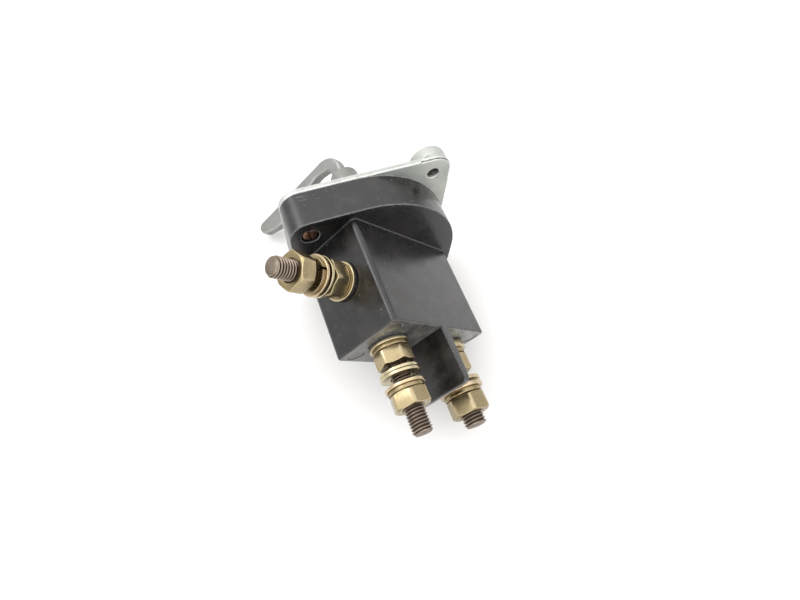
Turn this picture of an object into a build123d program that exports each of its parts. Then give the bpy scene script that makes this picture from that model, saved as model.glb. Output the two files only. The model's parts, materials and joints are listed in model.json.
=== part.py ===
"""Battery master switch with a turning lever, three stud terminals and a cast mounting plate.

Frame: the switch stands as it does on an upright panel, with the plate's edges level. The origin is
on the lever's axis, at the rear face of the mounting plate. -Y points out of the front towards the
lever and +Z is up, so the lever and the long side of the housing lie along the plate's diagonals.

Everything is placed from the plane `front`, which lies on the plate's rear face: its normal is the
lever's axis, its y is the way the lever points when it is off, and its x runs along the housing from
the left terminal to the right one, as they are seen from behind with the side terminal on the left.
Heights are measured along that normal, positive in front of the plate's rear face.
"""
import os
from math import cos, radians, sin, sqrt

from build123d import *

os.makedirs("parts", exist_ok=True)

# Mounting plate (die cast)
plate_side = 94.0
plate_corner_r = 10.5
plate_t = 3.0
mount_hole_offset = 51.6          # from the lever axis to each mounting hole, along Y
mount_hole_r = 3.3
mount_boss_r = 10.3
mount_boss_top = 11.0
mount_boss_edge_r = 2.0
centre_boss_r = 14.0
centre_boss_top = 12.0
centre_boss_draft = 3.0           # degrees
mark_radius = 21.0                # where the three position marks stand on the front
mark_length = 6.0
mark_width = 1.6
mark_height = 0.7

# Housing (moulded phenolic)
flange_t = 19.5
flange_arc_r = 56.0               # the flange corners that leave the mounting lobes free
box_length = 82.6
box_width = 40.0
box_bottom = -77.0
box_edge_r = 2.6
box_foot_r = 1.2
draft = 0.4                       # degrees
cavity_length = 72.0
cavity_width = 31.0
cavity_bottom = -73.0
cavity_corner_r = 1.0
pocket_length = 80.0
pocket_width = 38.0
pocket_depth = 13.0
barrier_bottom = -107.0
barrier_root_t = 6.6
barrier_tip_t = 3.4
barrier_corner_r = 3.5
barrier_edge_r = 0.85
flange_edge_r = 0.5
box_root_r = 0.8
stud_boss_edge_r = 0.3
recess_edge_r = 0.4
ejector_mark_x = 34.5
ejector_mark_y = 12.6
ejector_mark_r = 4.8
ejector_mark_depth = 0.25
stud_boss_r = 9.5
stud_boss_h = 0.8
merge_depth = 1.0                 # how far the barrier and the bosses start inside the box

# Body screws, driven from behind through the flange into the plate
body_screw_offset = 52.0
body_screw_r = 2.0
body_screw_head_r = 4.0
body_screw_head_t = 3.0
body_screw_slot_w = 1.2
body_screw_slot_depth = 1.3
body_screw_slot_angle = 30.0
body_screw_recess_r = 4.5
body_screw_recess_depth = 3.5

# Terminal studs and their hardware: M12 on the right, M10 on the left and at the side
m10 = {
    "stud_r": 5.0,
    "core_r": 4.6,                # the thread is drawn at its core size inside a nut
    "hole_r": 5.1,
    "across_flats": 17.0,
    "nut_t": 8.0,
    "washer_t": 1.5,
    "washer_outer_r": 10.0,
    "washer_inner_r": 5.3,
    "spring_washer_t": 2.0,
    "spring_washer_outer_r": 9.0,
    "spring_washer_inner_r": 5.1,
}
m12 = {
    "stud_r": 6.0,
    "core_r": 5.5,
    "hole_r": 6.1,
    "across_flats": 19.0,
    "nut_t": 10.0,
    "washer_t": 2.0,
    "washer_outer_r": 12.0,
    "washer_inner_r": 6.4,
    "spring_washer_t": 2.5,
    "spring_washer_outer_r": 10.4,
    "spring_washer_inner_r": 6.1,
}
stud_head_r = 8.8
stud_head_t = 6.5
stud_tip_chamfer = 1.0
lower_stud_offset = 24.0
side_stud_z = -44.0
nut_chamfer = 0.8
spring_washer_gap = 1.2
spring_washer_cut_angle = 25.0

# Lever (cast), bent over from the top of its hub
hub_bottom = 13.4
hub_skirt_top = 18.0
hub_skirt_r = 10.5
hub_top = 45.0
hub_top_r = 8.6
hub_top_shift = 0.9
hub_top_edge_r = 2.5
hub_bore_depth_z = 38.0
lever_thickness = 6.6
lever_edge_r = 1.5
leg_back = -1.2
leg_front = 7.2
leg_foot_front = 9.0              # the leg widens to this where it runs down into the hub
leg_foot_z = 33.4
web_curve = (0.7, 1.2)            # the middle of the hollow between leg and hub top, from their corner
web_curve_rise = 3.5
elbow_outer_r = 13.5
elbow_inner_r = 5.0
arm_top = 65.0
# The grip's side outline, each point as (distance from the lever's axis, height)
grip_top_end = (76.5, arm_top)
grip_nose = (79.4, 63.6)
grip_tip = (80.2, 60.6)
grip_chin = (78.4, 57.0)
grip_chin_end = (74.0, 54.6)
grip_swell_start = (66.0, 52.2)
grip_swell = (59.5, 51.2)
grip_swell_end = (53.0, 52.0)
arm_underside = (22.0, 57.0)
lever_pin_z = 24.0
lever_pin_r = 2.0
lever_pin_bore_r = 1.0
lever_pin_inset = 0.8             # how far each end stands inside the hub's skirt

# Spindle and its bearing
spindle_r = 5.0
bush_bore_r = 5.05
bush_outer_r = 7.0
bush_flange_r = 9.5
bush_flange_t = 1.0
square_side = 7.0
square_top = -3.2
spindle_bottom = -54.0
seal_groove_r = 3.2
seal_groove_low = 5.0
seal_section_r = 0.89
seal_groove_room = 0.2
thrust_washer_top = -0.4
thrust_washer_t = 1.2
thrust_washer_outer_r = 9.0
circlip_t = 1.0
circlip_inner_r = 4.3
circlip_outer_r = 7.5
circlip_gap = 5.0

# Detent: a sprung ball in the carrier drops into three grooves of the block
carrier_r = 12.5
carrier_bottom = -12.2
stop_tooth_r = 16.5
stop_tooth_width = 5.0
stop_tooth_bottom = -6.0
block_clearance = 0.2
block_bore_r = 13.5
stop_level = -6.4
stop_bore_r = 17.2
stop_sector_half_angle = 75.0
detent_angles = (0.0, 90.0, 180.0)
groove_r = 2.8
groove_offset = 12.4
ball_r = 2.5
ball_bore_r = 2.6
ball_z = -9.2
ball_offset = 10.7
detent_spring_start = 4.0
detent_spring_coil_r = 1.6
detent_spring_wire_r = 0.3
detent_spring_turns = 4

# Rotor and contacts
spacer_outer_r = 7.0
rotor_top = -40.0
rotor_bottom = -66.0
rotor_r = 11.0
rotor_pin_z = -47.0
rotor_pin_r = 1.5
rotor_pin_inset = 0.5
slot_width = 8.6
slot_top = -61.5
spring_seat_top = -57.5
spring_seat_r = 4.2
blade_width = 8.0
blade_top = -64.5
blade_t = 2.7
blade_tail = 9.5
blade_reach = 14.0
contact_gap = 0.3
contact_spring_coil_r = 3.0
contact_spring_wire_r = 0.45
contact_spring_turns = 4
contact_plate_t = 2.5
contact_plate_outer = 33.0
contact_plate_inner = 9.0
contact_plate_width = 16.0
contact_pad_outer = 14.5
contact_pad_width = 9.0
collector_r = 6.0
strap_t = 2.0
strap_width = 5.0
strap_edge = -14.5
strap_plate_top = -35.0
strap_plate_bottom = -54.0
strap_plate_far = 9.0

# The planes and axes that place everything
front = Plane(origin=(0, 0, 0), x_dir=(-1, 0, -1), z_dir=(0, -1, 0))
# Two sections through the lever's axis: sketch y is the height, and sketch x runs the way the lever
# points (lengthwise) or along the housing (crosswise).
lengthwise = Plane(origin=front.origin, x_dir=front.y_dir, z_dir=front.x_dir)
crosswise = Plane(origin=front.origin, x_dir=front.x_dir, z_dir=-front.y_dir)
lever_axis = Axis(front.origin, front.z_dir)
across_axis = Axis(front.origin, front.x_dir)
along_axis = Axis(front.origin, front.y_dir)

# Derived sizes
blade_bottom = blade_top - blade_t
pad_top = blade_bottom - contact_gap
strap_wall_x = -cavity_length / 2

# Each terminal is a plane on the housing's skin whose normal is the stud's axis, with the distances
# from that skin at which its nuts, flat washers and spring washers start, and where the stud ends.
terminals = {
    "left": {
        "thread": m10,
        "plane": Plane(origin=front.from_local_coords((-lower_stud_offset, 0, box_bottom)),
                       x_dir=front.x_dir, z_dir=-front.z_dir),
        "wall": cavity_bottom - box_bottom + contact_plate_t,
        "nuts": (4.3, 25.7),
        "flat_washers": (0.8, 15.0, 16.6, 22.2),
        "spring_washers": (2.3, 23.7),
        "tip": 46.2,
    },
    "right": {
        "thread": m12,
        "plane": Plane(origin=front.from_local_coords((lower_stud_offset, 0, box_bottom)),
                       x_dir=front.x_dir, z_dir=-front.z_dir),
        "wall": cavity_bottom - box_bottom + contact_plate_t,
        "nuts": (7.3, 29.8),
        "flat_washers": (0.8, 2.8, 22.0, 25.3),
        "spring_washers": (4.8, 27.3),
        "tip": 46.2,
    },
    "side": {
        "thread": m10,
        "plane": Plane(origin=front.from_local_coords((-box_length / 2, 0, side_stud_z)),
                       x_dir=front.y_dir, z_dir=-front.x_dir),
        "wall": box_length / 2 - cavity_length / 2 + strap_t,
        "nuts": (4.3, 24.2),
        "flat_washers": (0.8, 14.2, 17.4),
        "spring_washers": (2.3, 18.9),
        "tip": 42.3,
    },
}


def save(part, name):
    """Label a finished sub-part and write it under its own name."""
    part.label = name
    export_step(part, f"parts/{name}.step")


def group(shapes):
    """Separate solids that share one node."""
    with BuildPart() as together:
        add(shapes)
    return together.part


def axial_section(plane):
    """A sketch plane through a plane's normal: x is the radius and y runs along the normal."""
    return Plane(origin=plane.origin, x_dir=plane.x_dir, z_dir=-plane.y_dir)


def hex_nut(plane, thread):
    """A hexagon nut with its corners turned off at both ends."""
    corner_r = thread["across_flats"] / sqrt(3)
    face_r = thread["across_flats"] / 2
    thickness = thread["nut_t"]
    with BuildPart() as nut:
        with BuildSketch(plane):
            RegularPolygon(radius=face_r, side_count=6, major_radius=False)
            Circle(thread["core_r"], mode=Mode.SUBTRACT)
        extrude(amount=thickness)
        with BuildSketch(axial_section(plane)):
            with BuildLine():
                Polyline((0, 0), (face_r, 0), (corner_r, nut_chamfer), (corner_r, thickness - nut_chamfer),
                         (face_r, thickness), (0, thickness), close=True)
            make_face()
        revolve(axis=Axis(plane.origin, plane.z_dir), mode=Mode.INTERSECT)
    return nut.part


def flat_washer(plane, thread):
    with BuildPart() as washer:
        with BuildSketch(plane):
            Circle(thread["washer_outer_r"])
            Circle(thread["washer_inner_r"], mode=Mode.SUBTRACT)
        extrude(amount=thread["washer_t"])
    return washer.part


def spring_washer(plane, thread):
    """A split ring, drawn flat as it is when it is tightened."""
    outer_r, inner_r = thread["spring_washer_outer_r"], thread["spring_washer_inner_r"]
    with BuildPart() as washer:
        with BuildSketch(plane):
            Circle(outer_r)
            Circle(inner_r, mode=Mode.SUBTRACT)
            with Locations((0, (outer_r + inner_r) / 2)):
                Rectangle(spring_washer_gap, outer_r, rotation=spring_washer_cut_angle, mode=Mode.SUBTRACT)
        extrude(amount=thread["spring_washer_t"])
    return washer.part


def terminal_stud(plane, thread, wall, nuts, tip):
    """A headed stud: full size where the thread shows and core size inside each nut."""
    with BuildPart() as stud:
        with BuildSketch(plane.offset(-wall - stud_head_t)):
            Circle(stud_head_r)
        extrude(amount=stud_head_t)
        with BuildSketch(plane.offset(-wall)):
            Circle(thread["core_r"])
        extrude(amount=wall + tip)
        starts = (-wall, *(start + thread["nut_t"] for start in nuts))
        for low, high in zip(starts, (*nuts, tip)):
            with BuildSketch(plane.offset(low)):
                Circle(thread["stud_r"])
            extrude(amount=high - low)
        end_face = stud.faces().filter_by(Axis(plane.origin, plane.z_dir)).sort_by(
            Axis(plane.origin, plane.z_dir))[-1]
        chamfer(end_face.edges(), stud_tip_chamfer)
    return stud.part


def coil_spring(start, direction, coil_r, wire_r, turns, length):
    """A helical spring that fills the given length from its start point."""
    pitch = (length - 2 * wire_r) / turns
    axis_start = Vector(start) + Vector(direction) * wire_r
    with BuildPart() as spring:
        with BuildLine() as path:
            Helix(pitch=pitch, height=pitch * turns, radius=coil_r, center=axis_start, direction=direction)
        with BuildSketch(Plane(origin=path.line @ 0, z_dir=path.line % 0)):
            Circle(wire_r)
        sweep(is_frenet=True)
    return spring.part


# ---------------------------------------------------------------- mounting plate
with BuildPart() as mounting_plate:
    with BuildSketch(front):
        RectangleRounded(plate_side, plate_side, plate_corner_r, rotation=45)
    extrude(amount=plate_t)
    mount_places = ((0, -mount_hole_offset), (0, mount_hole_offset))
    with BuildSketch(front.offset(plate_t)):
        with Locations(*mount_places):
            Circle(mount_boss_r)
    extrude(amount=mount_boss_top - plate_t)
    boss_rims = mounting_plate.faces().filter_by(lever_axis).group_by(lever_axis)[-1].edges()
    fillet(boss_rims, mount_boss_edge_r)
    with BuildSketch(front.offset(plate_t)):
        Circle(centre_boss_r)
    extrude(amount=centre_boss_top - plate_t, taper=centre_boss_draft)
    for detent_angle in detent_angles:
        mark_x = mark_radius * cos(radians(detent_angle))
        mark_y = mark_radius * sin(radians(detent_angle))
        with BuildSketch(front.offset(plate_t)):
            with Locations((mark_x, mark_y)):
                Rectangle(mark_length, mark_width, rotation=detent_angle)
        extrude(amount=mark_height)
    with BuildSketch(front):
        with Locations(*mount_places):
            Circle(mount_hole_r)
    extrude(amount=mount_boss_top, mode=Mode.SUBTRACT)
    with BuildSketch(front):
        Circle(bush_outer_r)
    extrude(amount=centre_boss_top, mode=Mode.SUBTRACT)
    with BuildSketch(front):
        with Locations((-body_screw_offset, 0), (body_screw_offset, 0)):
            Circle(body_screw_r)
    extrude(amount=plate_t, mode=Mode.SUBTRACT)
save(mounting_plate.part, "mounting_plate")

# ---------------------------------------------------------------- housing
behind_flange = Plane(origin=front.offset(-flange_t).origin, x_dir=front.x_dir, z_dir=-front.z_dir)
with BuildPart() as housing:
    with BuildSketch(front.offset(-flange_t)) as flange_outline:
        Rectangle(plate_side, plate_side, rotation=45)
        fillet(flange_outline.vertices().group_by(Axis.Y)[1], plate_corner_r)
        corners_y = flange_outline.vertices().group_by(Axis.Y)
        fillet(corners_y[0] + corners_y[-1], flange_arc_r)
    extrude(amount=flange_t)
    fillet(housing.edges().group_by(lever_axis)[0], flange_edge_r)
    with BuildSketch(behind_flange):
        RectangleRounded(box_length, box_width, box_edge_r)
    extrude(amount=-box_bottom - flange_t, taper=draft)
    fillet(housing.edges(Select.LAST).group_by(lever_axis)[-1], box_root_r)
    box_foot = housing.faces().filter_by(lever_axis).sort_by(lever_axis)[0]
    fillet(box_foot.edges(), box_foot_r)
    barrier_root = box_bottom + merge_depth
    foot_width = box_width - 2 * (-box_bottom - flange_t) * sin(radians(draft))
    with BuildPart(mode=Mode.PRIVATE) as barrier:
        with BuildSketch(crosswise):
            with BuildLine():
                Polyline((-barrier_root_t / 2, barrier_root), (barrier_root_t / 2, barrier_root),
                         (barrier_tip_t / 2, barrier_bottom), (-barrier_tip_t / 2, barrier_bottom),
                         close=True)
            make_face()
        extrude(amount=foot_width / 2, both=True)
        fillet(barrier.edges().filter_by(across_axis).group_by(lever_axis)[0], barrier_corner_r)
        for barrier_side in (0, -1):
            side_face = barrier.faces().filter_by(GeomType.PLANE).sort_by(across_axis)[barrier_side]
            fillet(side_face.edges().group_by(lever_axis)[:-1], barrier_edge_r)
    add(barrier.part)
    for place in ("left", "right", "side"):
        with BuildSketch(terminals[place]["plane"].offset(-merge_depth)):
            Circle(stud_boss_r)
        extrude(amount=merge_depth + stud_boss_h)
        boss_axis = Axis(terminals[place]["plane"].origin, terminals[place]["plane"].z_dir)
        fillet(housing.edges(Select.LAST).group_by(boss_axis)[-1], stud_boss_edge_r)
    with BuildSketch(front.offset(box_bottom)):
        with GridLocations(2 * ejector_mark_x, 2 * ejector_mark_y, 2, 2):
            Circle(ejector_mark_r)
    extrude(amount=ejector_mark_depth, mode=Mode.SUBTRACT)
    with BuildSketch(front):
        Rectangle(pocket_length, pocket_width)
    extrude(amount=-pocket_depth, mode=Mode.SUBTRACT)
    with BuildSketch(front.offset(cavity_bottom)):
        RectangleRounded(cavity_length, cavity_width, cavity_corner_r)
    extrude(amount=-pocket_depth - cavity_bottom, mode=Mode.SUBTRACT)
    for place in ("left", "right", "side"):
        with BuildSketch(terminals[place]["plane"].offset(-terminals[place]["wall"])):
            Circle(terminals[place]["thread"]["hole_r"])
        extrude(amount=terminals[place]["wall"] + stud_boss_h, mode=Mode.SUBTRACT)
    screw_places = ((-body_screw_offset, 0), (body_screw_offset, 0))
    with BuildSketch(front.offset(-flange_t)):
        with Locations(*screw_places):
            Circle(body_screw_recess_r)
    extrude(amount=body_screw_recess_depth, mode=Mode.SUBTRACT)
    fillet(housing.edges(Select.LAST).group_by(lever_axis)[0], recess_edge_r)
    with BuildSketch(front.offset(-flange_t)):
        with Locations(*screw_places):
            Circle(body_screw_r + block_clearance)
    extrude(amount=flange_t, mode=Mode.SUBTRACT)
save(housing.part, "housing")

# ---------------------------------------------------------------- lever
with BuildPart() as lever_handle:
    with BuildSketch(front.offset(hub_bottom)):
        Circle(hub_skirt_r)
    extrude(amount=hub_skirt_top - hub_bottom)
    with BuildSketch(front.offset(hub_skirt_top)):
        Circle(hub_skirt_r)
    with BuildSketch(front.offset(hub_top)):
        with Locations((0, hub_top_shift)):
            Circle(hub_top_r)
    loft()
    fillet(lever_handle.faces().sort_by(lever_axis)[-1].edges(), hub_top_edge_r)
    with BuildPart(mode=Mode.PRIVATE) as bent_arm:
        elbow_y = leg_back + elbow_outer_r
        elbow_z = arm_top - elbow_outer_r
        with BuildSketch(lengthwise):
            with BuildLine():
                Line((leg_back, leg_foot_z), (leg_back, elbow_z))
                RadiusArc((leg_back, elbow_z), (elbow_y, arm_top), elbow_outer_r)
                Line((elbow_y, arm_top), grip_top_end)
                ThreePointArc(grip_top_end, grip_nose, grip_tip)
                ThreePointArc(grip_tip, grip_chin, grip_chin_end)
                Line(grip_chin_end, grip_swell_start)
                ThreePointArc(grip_swell_start, grip_swell, grip_swell_end)
                Line(grip_swell_end, arm_underside)
                Spline(arm_underside, (elbow_y, elbow_z + elbow_inner_r), (leg_front, elbow_z),
                       tangents=((-1, 0.16), (0, -1)))
                Line((leg_front, elbow_z), (leg_front, hub_top + web_curve_rise))
                ThreePointArc((leg_front, hub_top + web_curve_rise),
                              (leg_front + web_curve[0], hub_top + web_curve[1]),
                              (leg_foot_front, hub_top))
                Line((leg_foot_front, hub_top), (leg_foot_front, leg_foot_z))
                Line((leg_foot_front, leg_foot_z), (leg_back, leg_foot_z))
            make_face()
        extrude(amount=lever_thickness / 2, both=True)
        side_faces = bent_arm.faces().filter_by(across_axis)
        fillet(side_faces.edges(), lever_edge_r)
    add(bent_arm.part)
    with BuildSketch(front.offset(hub_bottom)):
        Circle(spindle_r)
    extrude(amount=hub_bore_depth_z - hub_bottom, mode=Mode.SUBTRACT)
    with BuildSketch(lengthwise):
        with Locations((0, lever_pin_z)):
            Circle(lever_pin_r)
    extrude(amount=hub_skirt_r, both=True, mode=Mode.SUBTRACT)
save(lever_handle.part, "lever_handle")

# ---------------------------------------------------------------- spindle, bearing and retainers
with BuildPart() as spindle:
    with BuildSketch(front.offset(square_top)):
        Circle(spindle_r)
    extrude(amount=hub_bore_depth_z - square_top)
    with BuildSketch(front.offset(square_top)):
        Rectangle(square_side, square_side)
    extrude(amount=spindle_bottom - square_top)
    circlip_top = thrust_washer_top - thrust_washer_t
    for groove_low, groove_high, groove_floor_r in (
            (seal_groove_low, seal_groove_low + 2 * seal_section_r + seal_groove_room, seal_groove_r),
            (circlip_top - circlip_t, circlip_top, circlip_inner_r)):
        with BuildSketch(front.offset(groove_low)):
            Circle(spindle_r)
            Circle(groove_floor_r, mode=Mode.SUBTRACT)
        extrude(amount=groove_high - groove_low, mode=Mode.SUBTRACT)
    for cross_pin_z, cross_pin_r in ((lever_pin_z, lever_pin_r), (rotor_pin_z, rotor_pin_r)):
        with BuildSketch(lengthwise):
            with Locations((0, cross_pin_z)):
                Circle(cross_pin_r)
        extrude(amount=spindle_r, both=True, mode=Mode.SUBTRACT)
save(spindle.part, "spindle")

with BuildPart() as spindle_bush:
    with BuildSketch(front):
        Circle(bush_outer_r)
    extrude(amount=centre_boss_top)
    with BuildSketch(front.offset(centre_boss_top)):
        Circle(bush_flange_r)
    extrude(amount=bush_flange_t)
    with BuildSketch(front):
        Circle(bush_bore_r)
    extrude(amount=centre_boss_top + bush_flange_t, mode=Mode.SUBTRACT)
save(spindle_bush.part, "spindle_bush")

with BuildPart() as spindle_seal:
    seal_mid_z = seal_groove_low + seal_section_r + seal_groove_room / 2
    with BuildSketch(crosswise):
        with Locations((seal_groove_r + seal_section_r, seal_mid_z)):
            Circle(seal_section_r)
    revolve(axis=lever_axis)
save(spindle_seal.part, "spindle_seal")

with BuildPart() as thrust_washer:
    with BuildSketch(front.offset(thrust_washer_top - thrust_washer_t)):
        Circle(thrust_washer_outer_r)
        Circle(bush_bore_r, mode=Mode.SUBTRACT)
    extrude(amount=thrust_washer_t)
save(thrust_washer.part, "thrust_washer")

with BuildPart() as circlip:
    with BuildSketch(front.offset(circlip_top - circlip_t)):
        Circle(circlip_outer_r)
        Circle(circlip_inner_r, mode=Mode.SUBTRACT)
        with Locations((0, -circlip_outer_r)):
            Rectangle(circlip_gap, circlip_outer_r, mode=Mode.SUBTRACT)
    extrude(amount=circlip_t)
save(circlip.part, "circlip")

with BuildPart() as lever_pin:
    with BuildSketch(lengthwise):
        with Locations((0, lever_pin_z)):
            Circle(lever_pin_r)
            Circle(lever_pin_bore_r, mode=Mode.SUBTRACT)
    extrude(amount=hub_skirt_r - lever_pin_inset, both=True)
save(lever_pin.part, "lever_pin")

# ---------------------------------------------------------------- detent
with BuildPart() as detent_block:
    with BuildSketch(front.offset(-pocket_depth)):
        Rectangle(pocket_length - 2 * block_clearance, pocket_width - 2 * block_clearance)
    extrude(amount=pocket_depth)
    with BuildSketch(front.offset(-pocket_depth)):
        Circle(block_bore_r)
        for detent_angle in detent_angles:
            with Locations((groove_offset * cos(radians(detent_angle)),
                            groove_offset * sin(radians(detent_angle)))):
                Circle(groove_r)
    extrude(amount=pocket_depth, mode=Mode.SUBTRACT)
    with BuildSketch(front.offset(stop_level)):
        with BuildLine():
            stop_start = Vector(0, -stop_bore_r).rotate(Axis.Z, -180 + stop_sector_half_angle)
            stop_end = Vector(0, -stop_bore_r).rotate(Axis.Z, 180 - stop_sector_half_angle)
            ThreePointArc(stop_start, (0, -stop_bore_r), stop_end)
            Line(stop_end, (0, 0))
            Line((0, 0), stop_start)
        make_face()
    extrude(amount=-stop_level, mode=Mode.SUBTRACT)
save(detent_block.part, "detent_block")

ball_bore_plane = Plane(origin=front.from_local_coords((0, detent_spring_start, ball_z)),
                        x_dir=front.x_dir, z_dir=front.y_dir)
with BuildPart() as detent_carrier:
    with BuildSketch(front.offset(carrier_bottom)):
        Circle(carrier_r)
    extrude(amount=square_top - carrier_bottom)
    with BuildSketch(front.offset(stop_tooth_bottom)):
        with Locations((0, -stop_tooth_r / 2)):
            Rectangle(stop_tooth_width, stop_tooth_r)
    extrude(amount=square_top - stop_tooth_bottom)
    with BuildSketch(front.offset(carrier_bottom)):
        Rectangle(square_side, square_side)
    extrude(amount=square_top - carrier_bottom, mode=Mode.SUBTRACT)
    with BuildSketch(ball_bore_plane):
        Circle(ball_bore_r)
    extrude(amount=carrier_r - detent_spring_start, mode=Mode.SUBTRACT)
save(detent_carrier.part, "detent_carrier")

with BuildPart() as detent_ball:
    with Locations(front.from_local_coords((0, ball_offset, ball_z))):
        Sphere(ball_r)
save(detent_ball.part, "detent_ball")

save(coil_spring(ball_bore_plane.origin, ball_bore_plane.z_dir, detent_spring_coil_r, detent_spring_wire_r,
                 detent_spring_turns, ball_offset - ball_r - detent_spring_start), "detent_spring")

# ---------------------------------------------------------------- rotor and moving contact
with BuildPart() as spacer_tube:
    with BuildSketch(front.offset(rotor_top)):
        Circle(spacer_outer_r)
        Circle(bush_bore_r, mode=Mode.SUBTRACT)
    extrude(amount=carrier_bottom - rotor_top)
save(spacer_tube.part, "spacer_tube")

with BuildPart() as rotor:
    with BuildSketch(front.offset(rotor_bottom)):
        Circle(rotor_r)
    extrude(amount=rotor_top - rotor_bottom)
    with BuildSketch(front.offset(rotor_bottom)):
        Rectangle(slot_width, 2 * rotor_r)
    extrude(amount=slot_top - rotor_bottom, mode=Mode.SUBTRACT)
    with BuildSketch(front.offset(slot_top)):
        Circle(spring_seat_r)
    extrude(amount=spring_seat_top - slot_top, mode=Mode.SUBTRACT)
    with BuildSketch(front.offset(spindle_bottom)):
        Rectangle(square_side, square_side)
    extrude(amount=rotor_top - spindle_bottom, mode=Mode.SUBTRACT)
    with BuildSketch(lengthwise):
        with Locations((0, rotor_pin_z)):
            Circle(rotor_pin_r)
    extrude(amount=rotor_r, both=True, mode=Mode.SUBTRACT)
save(rotor.part, "rotor")

with BuildPart() as rotor_pin:
    with BuildSketch(lengthwise):
        with Locations((0, rotor_pin_z)):
            Circle(rotor_pin_r)
    extrude(amount=rotor_r - rotor_pin_inset, both=True)
save(rotor_pin.part, "rotor_pin")

with BuildPart() as contact_blade:
    with BuildSketch(front.offset(blade_bottom)):
        with Locations((0, blade_reach - blade_width / 2)):
            Circle(blade_width / 2)
        with Locations((0, (blade_reach - blade_width / 2 - blade_tail) / 2)):
            Rectangle(blade_width, blade_reach - blade_width / 2 + blade_tail)
    extrude(amount=blade_t)
save(contact_blade.part, "contact_blade")

save(coil_spring(front.offset(spring_seat_top).origin, -front.z_dir, contact_spring_coil_r,
                 contact_spring_wire_r, contact_spring_turns, spring_seat_top - blade_top), "contact_spring")

# ---------------------------------------------------------------- fixed contacts
for place, side in (("left", -1), ("right", 1)):
    with BuildPart() as fixed_contact:
        plate_mid = side * (contact_plate_outer + contact_plate_inner) / 2
        pad_mid = side * (contact_pad_outer + contact_plate_inner) / 2
        with BuildSketch(front.offset(cavity_bottom)):
            with Locations((plate_mid, 0)):
                Rectangle(contact_plate_outer - contact_plate_inner, contact_plate_width)
        extrude(amount=contact_plate_t)
        with BuildSketch(front.offset(cavity_bottom + contact_plate_t)):
            with Locations((pad_mid, 0)):
                Rectangle(contact_pad_outer - contact_plate_inner, contact_pad_width)
        extrude(amount=pad_top - cavity_bottom - contact_plate_t)
        with BuildSketch(front.offset(cavity_bottom)):
            with Locations((side * lower_stud_offset, 0)):
                Circle(terminals[place]["thread"]["hole_r"])
        extrude(amount=contact_plate_t, mode=Mode.SUBTRACT)
    save(fixed_contact.part, f"{place}_contact")

with BuildPart() as common_strap:
    with BuildSketch(front.offset(cavity_bottom)):
        Circle(collector_r)
    extrude(amount=pad_top - cavity_bottom)
    with BuildSketch(front.offset(cavity_bottom)):
        with Locations((0, strap_edge / 2)):
            Rectangle(strap_width, -strap_edge)
        with Locations(((strap_wall_x + strap_width / 2) / 2, strap_edge + strap_width / 2)):
            Rectangle(strap_width / 2 - strap_wall_x, strap_width)
    extrude(amount=strap_t)
    with BuildSketch(lengthwise.offset(strap_wall_x)):
        with Locations((strap_edge + strap_width / 2, (strap_plate_top + cavity_bottom) / 2)):
            Rectangle(strap_width, strap_plate_top - cavity_bottom)
        with Locations(((strap_edge + strap_plate_far) / 2, (strap_plate_top + strap_plate_bottom) / 2)):
            Rectangle(strap_plate_far - strap_edge, strap_plate_top - strap_plate_bottom)
        with Locations((0, side_stud_z)):
            Circle(terminals["side"]["thread"]["hole_r"], mode=Mode.SUBTRACT)
    extrude(amount=strap_t)
save(common_strap.part, "common_strap")

# ---------------------------------------------------------------- terminals
for place, terminal in terminals.items():
    save(terminal_stud(terminal["plane"], terminal["thread"], terminal["wall"], terminal["nuts"],
                       terminal["tip"]), f"{place}_stud")

inner_nut_shapes = [hex_nut(t["plane"].offset(t["nuts"][0]), t["thread"]) for t in terminals.values()]
outer_nut_shapes = [hex_nut(t["plane"].offset(t["nuts"][1]), t["thread"]) for t in terminals.values()]
flat_washer_shapes = [flat_washer(t["plane"].offset(start), t["thread"])
                      for t in terminals.values() for start in t["flat_washers"]]
spring_washer_shapes = [spring_washer(t["plane"].offset(start), t["thread"])
                        for t in terminals.values() for start in t["spring_washers"]]
save(group(inner_nut_shapes), "inner_nuts")
save(group(outer_nut_shapes), "outer_nuts")
save(group(flat_washer_shapes), "flat_washers")
save(group(spring_washer_shapes), "spring_washers")

with BuildPart() as body_screws:
    head_seat = -flange_t + body_screw_recess_depth
    for screw_x in (-body_screw_offset, body_screw_offset):
        with BuildSketch(front.offset(head_seat - body_screw_head_t)):
            with Locations((screw_x, 0)):
                Circle(body_screw_head_r)
        extrude(amount=body_screw_head_t)
        with BuildSketch(front.offset(head_seat)):
            with Locations((screw_x, 0)):
                Circle(body_screw_r)
        extrude(amount=plate_t - head_seat)
        with BuildSketch(front.offset(head_seat - body_screw_head_t)):
            with Locations((screw_x, 0)):
                Rectangle(2 * body_screw_head_r, body_screw_slot_w, rotation=body_screw_slot_angle)
        extrude(amount=body_screw_slot_depth, mode=Mode.SUBTRACT)
save(body_screws.part, "body_screws")
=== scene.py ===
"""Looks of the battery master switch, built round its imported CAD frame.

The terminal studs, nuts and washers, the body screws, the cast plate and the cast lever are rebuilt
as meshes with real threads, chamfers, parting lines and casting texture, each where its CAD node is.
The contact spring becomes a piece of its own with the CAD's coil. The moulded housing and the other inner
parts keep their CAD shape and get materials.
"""
import json
from math import cos, degrees, pi, radians, sin, sqrt, tan

import bmesh
import bpy
import numpy as np
from mathutils import Matrix, Vector, noise

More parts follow.
